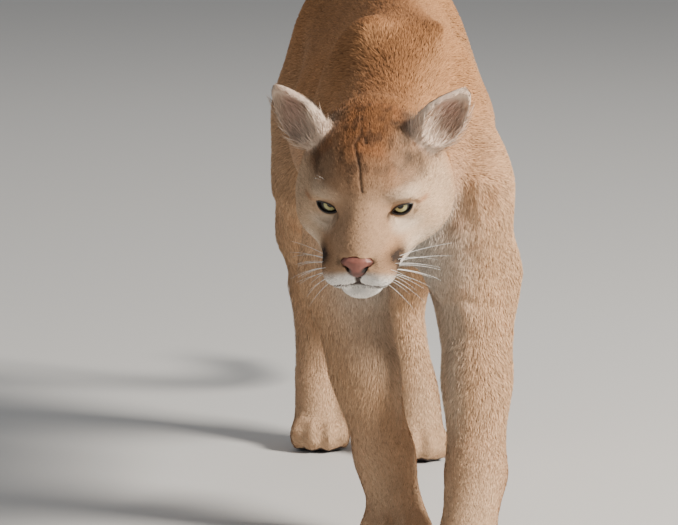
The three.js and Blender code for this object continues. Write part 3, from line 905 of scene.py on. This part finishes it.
# %% [markdown]
# ## Tufts
# Each tuft is a thin tapered blade of three triangles, rooted in the skin, bent over in the lie of the coat.
# Tufts are spread evenly by area, and take colour, length, lie and spacing from the skin beneath their roots.
# Particle hair would be lost by the export, so they are plain mesh. There are over four hundred thousand of
# them, so arrays fill the meshes, rather than an operator called for each.


# %% Roots spread over the skin
def triangles_of(mesh):
    mesh.calc_loop_triangles()
    corners = np.empty(len(mesh.loop_triangles) * 3, np.int64)
    mesh.loop_triangles.foreach_get("vertices", corners)
    return corners.reshape(-1, 3)


skin_places = vertex_places(skin.data)
skin_triangles = triangles_of(skin.data)
edge_one = skin_places[skin_triangles[:, 1]] - skin_places[skin_triangles[:, 0]]
edge_two = skin_places[skin_triangles[:, 2]] - skin_places[skin_triangles[:, 0]]
triangle_area = np.linalg.norm(np.cross(edge_one, edge_two), axis=1) / 2
bare = (lid_gap < 0.0007) | (mouth_distance < 0.0012) | soles
nose_mesh_tree = BVHTree.FromPolygons(
    [v.co[:] for v in nodes["nose"].data.vertices], [p.vertices[:] for p in nodes["nose"].data.polygons]
)
near_nose = np.nonzero(in_head(skin_places)[:, 1] < -0.055)[0]
for index in near_nose:
    bare[index] |= nose_mesh_tree.find_nearest(Vector(skin_places[index]))[3] < 0.0016
triangle_bare = bare[skin_triangles].any(axis=1)
triangle_region = np.argmax(share[skin_triangles].mean(axis=1), axis=1)
print("area of the skin:", round(float(triangle_area.sum()), 3), "m2 | bare:", int(triangle_bare.sum()))


def spread_roots(chosen, spacing):
    """Picks roots evenly by area on the chosen triangles: returns the triangles and places in them."""
    wanted = triangle_area[chosen] / spacing[skin_triangles[chosen]].mean(axis=1) ** 2
    summed = np.cumsum(wanted)
    marks = np.arange(int(summed[-1])) + rng.random(int(summed[-1]))
    picked = chosen[np.minimum(np.searchsorted(summed, marks), len(chosen) - 1)]
    a, b = rng.random((2, len(picked)))
    fold = a + b > 1
    a[fold], b[fold] = 1 - a[fold], 1 - b[fold]
    return picked, np.stack([1 - a - b, a, b], axis=1)


def at_roots(values, picked, weights):
    corners = values[skin_triangles[picked]]
    if corners.ndim == 2:
        return (corners * weights).sum(axis=1)
    return (corners * weights[:, :, None]).sum(axis=1)


# %% [markdown]
# ## A chart for the tufts
# A flat map of every blade would be far too fine to hold colour. Each tuft is given one small patch instead,
# at its root's place on an unwrap of its region: a disc round the nose for the head, sleeves for the rest.

# %% Charts of the body: where each tuft's patch lies
def round_axis(points, centre, along):
    """Angle round an axis and station along it, each from 0 to 1."""
    a = points - centre
    angle = np.arctan2(a[:, 0], a[:, 1] if along == 2 else a[:, 2]) / (2 * math.pi) + 0.5
    station = points[:, along]
    return np.stack([angle, (station - station.min()) / np.ptp(station)], axis=1)


def chart_of(points, shape):
    """Where roots lie on the unwrap of their region, each way from 0 to 1."""
    if shape == "disc":
        p = in_head(points) - np.array([0, 0.03, -0.01])
        from_front = np.arccos(np.clip(-p[:, 1] / np.linalg.norm(p, axis=1), -1, 1)) / math.pi
        way = np.arctan2(p[:, 0], p[:, 2])
        reach = 0.49 * from_front**0.8
        return np.stack([0.5 + reach * np.sin(way), 0.5 + reach * np.cos(way)], axis=1)
    if shape == "tail":
        station = along_line(points, TAIL)[1]
        angle = np.arctan2(points[:, 0] - to_frame[0], points[:, 2] + points[:, 1]) / (2 * math.pi) + 0.5
        return np.stack([angle, station], axis=1)
    if shape == "leg":
        return round_axis(points, points.mean(axis=0), 2)
    if shape == "feet":
        left, fore = points[:, 0] > to_frame[0], points[:, 1] < to_frame[1] + 0.2
        chart = np.zeros((len(points), 2))
        feet = (left & fore, left & ~fore, ~left & fore, ~left & ~fore)
        corners = ((0, 0), (0.5, 0), (0, 0.5), (0.5, 0.5))
        for foot, corner in zip(feet, corners):
            sleeve = round_axis(points[foot], points[foot].mean(axis=0), 2)
            chart[foot] = sleeve * 0.49 + np.array(corner)
        return chart
    return round_axis(points, points.mean(axis=0), 1)


# %% Grow the tufts
PATCH = 0.003
TUFT_TRIANGLES = np.array([(0, 1, 3), (0, 3, 2), (2, 3, 4)])
TUFT_PATCH = np.array([(0.1, 0), (0.9, 0), (0.15, 0.5), (0.85, 0.5), (0.5, 1)]) * PATCH


def swirled(lie_here, facing, points):
    """The lie turned a little within the surface, by slow swirls and by a draw of each tuft's own."""
    turn = (soft_noise(points, 0.035, 7.7) - 0.5) * 0.7 + rng.normal(0, 0.13, len(points))
    across = np.cross(facing, lie_here)
    return lie_here * np.cos(turn)[:, None] + across * np.sin(turn)[:, None]


def build_tufts(name, corners, colours, shading, chart, made_of):
    """Joins tufts of five corners each into one mesh."""
    count = len(corners)
    mesh = bpy.data.meshes.new(name)
    mesh.vertices.add(count * 5)
    mesh.vertices.foreach_set("co", corners.astype(np.float32).ravel())
    index = (np.arange(count)[:, None, None] * 5 + TUFT_TRIANGLES).reshape(-1)
    mesh.loops.add(len(index))
    mesh.loops.foreach_set("vertex_index", index.astype(np.int32))
    mesh.polygons.add(len(index) // 3)
    mesh.polygons.foreach_set("loop_start", np.arange(0, len(index), 3, dtype=np.int32))
    mesh.polygons.foreach_set("use_smooth", np.ones(len(index) // 3, bool))
    uv = mesh.uv_layers.new(name="OFBake")
    patches = (np.clip(chart, 0, 1 - PATCH)[:, None, :] + TUFT_PATCH).reshape(-1, 2)
    uv.data.foreach_set("uv", patches[index].astype(np.float32).ravel())
    mesh.update()
    mesh.validate()
    give_colour(mesh, colours.reshape(-1, 3))
    mesh.normals_split_custom_set_from_vertices(np.repeat(shading, 5, axis=0).astype(np.float32))
    mesh.materials.append(made_of)
    return new_object(name, mesh)


def grow(name, regions, shape, where=True, stretch=1.0, stand=0.0, sparse=1.0):
    """Covers some regions. Tufts may be stretched, stand further up, or be set more sparsely."""
    in_region = np.isin(triangle_region, [REGIONS.index(r) for r in regions])
    chosen = np.nonzero(in_region & ~triangle_bare & where)[0]
    picked, weights = spread_roots(chosen, coat_spacing * sparse)
    root = at_roots(skin_places, picked, weights)
    facing = at_roots(skin_normals, picked, weights)
    facing /= np.linalg.norm(facing, axis=1)[:, None]
    way = swirled(flat_on(at_roots(lie, picked, weights), facing), facing, root)
    length = at_roots(coat_length, picked, weights) * rng.uniform(0.72, 1.22, len(root)) * stretch
    depth = at_roots(coat_depth, picked, weights)
    width = (0.00045 + 0.055 * length / stretch) * rng.uniform(0.75, 1.2, len(root))
    lift = np.clip(depth / length, 0.05, 0.36) * rng.uniform(0.75, 1.35, len(root))
    lift += stand * rng.uniform(0.6, 1.4, len(root))
    roll = rng.normal(0, 0.35, len(root))
    across = np.cross(way, facing)
    across = across * np.cos(roll)[:, None] + facing * np.sin(roll)[:, None]
    half = length[:, None] * 0.5
    rising = way * np.cos(1.5 * lift)[:, None] + facing * np.sin(1.5 * lift)[:, None]
    settling = way * np.cos(0.5 * lift)[:, None] + facing * np.sin(0.5 * lift)[:, None]
    sunk = root - facing * 0.0004
    knee = sunk + rising * half
    tip = knee + settling * half
    side = across * width[:, None] / 2
    corners = np.stack([sunk - side, sunk + side, knee - side * 0.8, knee + side * 0.8, tip], axis=1)
    tone = coat_colour(
        root,
        facing,
        at_roots(share, picked, weights),
        at_roots(mouth_distance, picked, weights),
        at_roots(furrow_distance, picked, weights),
        at_roots(lid_gap, picked, weights),
    )
    own = rng.normal(1, 0.15, len(root))[:, None]
    banded = np.where(rng.random(len(root)) < 0.16, 0.62, 1.06)[:, None]
    colours = np.stack([tone * own * 0.70] * 2 + [tone * own] * 2 + [tone * own * banded], axis=1)
    sideways = across * rng.normal(0, 0.22, len(root))[:, None]
    shading = facing + sideways - way * rng.normal(0.04, 0.10, len(root))[:, None]
    shading /= np.linalg.norm(shading, axis=1)[:, None]
    obj = build_tufts(name, corners, colours, shading, chart_of(root, shape), fur_material)
    print(name, len(root), "tufts,", len(obj.data.polygons), "triangles")
    return obj


on_left = skin_places[skin_triangles].mean(axis=1)[:, 0] > to_frame[0]
middles = in_head(skin_places[skin_triangles].mean(axis=1))
cup_way = ear_mouth_way(middles)
triangle_facing = turned_to_head(skin_normals[skin_triangles].mean(axis=1))
in_cup = ((triangle_facing * cup_way).sum(axis=1) > 0.1) & (middles[:, 2] < 0.088)
coat_pieces = [
    grow("head_fur", ("head", "ear"), "disc"),
    grow("ear_hair", ("ear",), "disc", in_cup, stretch=2.7, stand=0.30, sparse=1.5),
    grow("neck_fur", ("neck",), "sleeve"),
    grow("trunk_fur_left", ("torso",), "sleeve", on_left),
    grow("trunk_fur_right", ("torso",), "sleeve", ~on_left),
    grow("foreleg_fur_left", ("foreleg",), "leg", on_left),
    grow("foreleg_fur_right", ("foreleg",), "leg", ~on_left),
    grow("hindleg_fur_left", ("hindleg",), "leg", on_left),
    grow("hindleg_fur_right", ("hindleg",), "leg", ~on_left),
    grow("paw_fur", ("paw",), "feet"),
    grow("tail_fur", ("tail", "tip"), "tail"),
]
print("coat:", sum(len(o.data.polygons) for o in coat_pieces), "triangles")

# %% [markdown]
# ## Eyes
# Each eye is a ball of the solid's size. Turned fully to the camera, its pupil would hide behind the upper
# lid, so the pole points about midway between the camera and the way the head faces. A picture of an eye
# could be wrapped on, but a few rings are enough: the shader draws pupil, iris and dark ring from the
# distance to the pole. A clear coat gives the wet gloss.

# %% Eyeballs
IRIS = 0.56
PUPIL = 0.25
HEAD_PULL = Vector((0, -0.9, 0.02))


def eye_material():
    made = bpy.data.materials.new("eye")
    made.use_nodes = True
    tree = made.node_tree
    node, link = tree.nodes.new, tree.links.new
    shader = tree.nodes["Principled BSDF"]
    gaze = node("ShaderNodeAttribute")
    gaze.attribute_name = "gaze"
    split = node("ShaderNodeSeparateXYZ")
    link(gaze.outputs["Vector"], split.inputs["Vector"])
    squares = [node("ShaderNodeMath") for _ in range(2)]
    for square, axis in zip(squares, ("X", "Y")):
        square.operation = "POWER"
        square.inputs[1].default_value = 2
        link(split.outputs[axis], square.inputs[0])
    total, radius = node("ShaderNodeMath"), node("ShaderNodeMath")
    link(squares[0].outputs[0], total.inputs[0])
    link(squares[1].outputs[0], total.inputs[1])
    radius.operation = "SQRT"
    link(total.outputs[0], radius.inputs[0])
    fibres = node("ShaderNodeTexNoise")
    fibres.inputs["Scale"].default_value = 9
    fibres.inputs["Detail"].default_value = 4
    link(gaze.outputs["Vector"], fibres.inputs["Vector"])
    wavy = node("ShaderNodeMath")
    wavy.operation = "MULTIPLY_ADD"
    wavy.inputs[1].default_value = 0.10
    link(fibres.outputs["Fac"], wavy.inputs[0])
    link(radius.outputs[0], wavy.inputs[2])
    ramp = node("ShaderNodeValToRGB")
    stops = (
        (PUPIL + 0.035, (0.004, 0.004, 0.004, 1)),
        (PUPIL + 0.060, (0.20, 0.15, 0.055, 1)),
        (0.36, (0.52, 0.46, 0.19, 1)),
        (IRIS - 0.02, (0.44, 0.43, 0.20, 1)),
        (IRIS + 0.045, (0.030, 0.024, 0.018, 1)),
        (0.90, (0.030, 0.022, 0.020, 1)),
    )
    band = ramp.color_ramp.elements
    while len(band) < len(stops):
        band.new(0.5)
    for element, (place, tone) in zip(band, stops):
        element.position = place
        element.color = tone
    link(wavy.outputs[0], ramp.inputs["Fac"])
    link(ramp.outputs["Color"], shader.inputs["Base Color"])
    shader.inputs["Roughness"].default_value = 0.32
    shader.inputs["Specular IOR Level"].default_value = 0.2
    shader.inputs["Coat Weight"].default_value = 0.45
    shader.inputs["Coat Roughness"].default_value = 0.03
    return made


iris_material = eye_material()


def eyeball(name, centre):
    bm = bmesh.new()
    bmesh.ops.create_uvsphere(bm, u_segments=64, v_segments=64, radius=EYE_RADIUS)
    gaze = (camera.location - centre).normalized()
    gaze = (gaze + head_turn.to_3x3() @ HEAD_PULL).normalized()
    turn = gaze.to_track_quat("Z", "Y").to_matrix()
    poles = [v.co / EYE_RADIUS for v in bm.verts]
    for vertex in bm.verts:
        vertex.co = turn @ vertex.co + centre
    mesh = mesh_from_bmesh(name, bm)
    mesh.polygons.foreach_set("use_smooth", np.ones(len(mesh.polygons), bool))
    attribute = mesh.attributes.new("gaze", "FLOAT_VECTOR", "POINT")
    attribute.data.foreach_set("vector", np.array([p[:] for p in poles], np.float32).ravel())
    mesh.materials.append(iris_material)
    return new_object(name, mesh)


eyeballs = [eyeball("eyeball_left", eye_left), eyeball("eyeball_right", eye_right)]
print("eyeballs:", [len(ball.data.polygons) for ball in eyeballs], "faces")


# %% Tubes for lid rims and whiskers
def tube_rings(line, radii, sides):
    """Rings of points round a line, each as wide as its radius."""
    line = np.array(line)
    ways = np.gradient(line, axis=0)
    ways /= np.linalg.norm(ways, axis=1)[:, None]
    rings = []
    for place, way, radius in zip(line, ways, radii):
        sideways = np.cross(way, (0.31, 0.17, 0.94))
        sideways /= np.linalg.norm(sideways)
        upward = np.cross(sideways, way)
        for k in range(sides):
            angle = 2 * math.pi * k / sides
            rings.append(place + radius * (sideways * math.cos(angle) + upward * math.sin(angle)))
    return rings


def tubes(name, lines, sides, made_of, tone, closed=False):
    """Joins tubes into one mesh. Each line comes with its radii."""
    corners, faces = [], []
    for line, radii in lines:
        start, count = len(corners), len(line)
        corners += tube_rings(line, radii, sides)
        for ring in range(count if closed else count - 1):
            here, there = start + ring * sides, start + (ring + 1) % count * sides
            for k in range(sides):
                n = (k + 1) % sides
                faces.append((here + k, here + n, there + n, there + k))
        if not closed:
            faces.append(tuple(start + k for k in reversed(range(sides))))
            faces.append(tuple(start + (count - 1) * sides + k for k in range(sides)))
    mesh = bpy.data.meshes.new(name)
    mesh.from_pydata([tuple(c) for c in corners], [], faces)
    mesh.polygons.foreach_set("use_smooth", np.ones(len(mesh.polygons), bool))
    give_colour(mesh, np.tile(tone, (len(corners), 1)))
    mesh.materials.append(made_of)
    return new_object(name, mesh)


def lid_outline(side, steps=44):
    """The opening's edge, laid just under the cap that the lids follow."""
    around = np.linspace(0, 2 * math.pi, steps * 2, endpoint=False)
    outward = np.cos(around) * LID_HALF_WIDTH
    upper, lower = lid_edge(outward)
    raised = np.where(np.sin(around) >= 0, upper, lower)
    forward = lid_surface(outward, raised) - 0.0006
    local = np.stack([outward, raised, forward], axis=1)
    return to_world(eye_centre(side) + local @ np.stack(eye_axes(side)))


RIM_RADIUS = 0.00095
rims = []
for side in SIDES:
    outline = lid_outline(side)
    rims.append((outline, np.full(len(outline), RIM_RADIUS)))
lid_rims = tubes("lid_rims", rims, 8, rim_material, BLACK_SKIN_AND_SHADE, closed=True)
print("lid rims:", len(lid_rims.data.polygons), "faces")

# %% [markdown]
# ## Nose leather
# The nose comes from its own solid, remeshed fine and smoothed, with the nostril openings drawn as painted
# shade. Its pink leather has a dark edge where it meets the lip.

# %% Nose
NOSE_VOXEL = 0.0008
nose = new_object("nose_leather", mesh_from_bmesh("nose_leather", copy_of("nose")))
nose_remesh = nose.modifiers.new("smooth leather", "REMESH")
nose_remesh.mode = "VOXEL"
nose_remesh.voxel_size = NOSE_VOXEL
apply_modifiers(nose)
nose_places = neighbours_mean(nose.data, vertex_places(nose.data), 6)
set_vertex_places(nose.data, nose_places)
nose.data.polygons.foreach_set("use_smooth", np.ones(len(nose.data.polygons), bool))
nose_head = in_head(nose_places)
NOSE_PINK = (0.270, 0.100, 0.074)
NOSE_SHADE = (0.120, 0.045, 0.035)
nose_tone = np.tile(NOSE_PINK, (len(nose_head), 1)).astype(float)
nose_tone = painted(nose_tone, NOSE_SHADE, rise(-nose_head[:, 2], 0.036, 0.042) * 0.9)
nose_tone = painted(nose_tone, NOSE_SHADE, rise(np.abs(nose_head[:, 0]), 0.0120, 0.0175) * 0.85)
# Painted shade in the nostril openings
nostril_shade = both_sides(nose_head, (0.0125, -0.088, -0.0375), (0.0070, 0.010, 0.0046), 0.4)
nose_tone = painted(nose_tone, BLACK_SKIN_AND_SHADE, nostril_shade)
nose_tone *= (0.85 + 0.3 * soft_noise(nose_head, 0.003))[:, None]
give_colour(nose.data, nose_tone)
nose.data.materials.clear()
nose.data.materials.append(nose_material)
print("nose leather:", len(nose.data.polygons), "faces")


# %% [markdown]
# ## Whiskers
# Rows of long pale hairs stand out of the pads, and a few short ones over each eye. They could be curves with
# a round bevel. Here they share the tapering tubes of the lid rims, so that all are one mesh.

# %% Whiskers
def bowed(start, way, length, droop, steps=14):
    """A line that leaves along a way and sags as it goes, in the head's frame."""
    way = np.array(way) / np.linalg.norm(way)
    t = np.linspace(0, 1, steps)[:, None]
    return np.array(start) + way * length * t + np.array([0, 0.25, -1.0]) * droop * t**2


def whisker_lines():
    lines = []
    for side in SIDES:
        for row in range(4):
            for column in range(4):
                start = (side * (0.027 + 0.0042 * column), -0.078 + 0.0085 * column, -0.040 - 0.0052 * row)
                backwards = 0.05 + 0.28 * column + rng.normal(0, 0.05)
                way = (side * (0.9 + 0.1 * column), backwards, 0.08 - 0.22 * row)
                length = (0.040 + 0.0095 * column) * rng.uniform(0.85, 1.15)
                line = bowed(start, way, length, 0.016 * rng.uniform(0.6, 1.5))
                lines.append((to_world(line), np.linspace(0.00033, 0.00006, len(line))))
        for k in range(3):
            start = (side * (0.034 + 0.006 * k), 0.0015 * k, 0.026 + rng.normal(0, 0.002))
            way = (side * (0.3 + 0.3 * k), -0.15, 1.0 + rng.normal(0, 0.15))
            line = bowed(start, way, 0.024 * rng.uniform(0.7, 1.2), 0.006)
            lines.append((to_world(line), np.linspace(0.00014, 0.00004, len(line))))
    return lines


whiskers = tubes("whiskers", whisker_lines(), 5, whisker_material, WHISKER)
print("whiskers:", len(whiskers.data.polygons), "faces")

# %% [markdown]
# ## Which piece stands for which solid
# The skin takes the place of all flesh. Coat, rims and whiskers dress it and replace nothing.

# %% Ride, replace and finish
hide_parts(*FLESH)
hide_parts("eye_left")
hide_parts("eye_right")
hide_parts("nose")
for obj in [skin, nose, lid_rims, whiskers, *eyeballs, *coat_pieces]:
    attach(obj, "root")
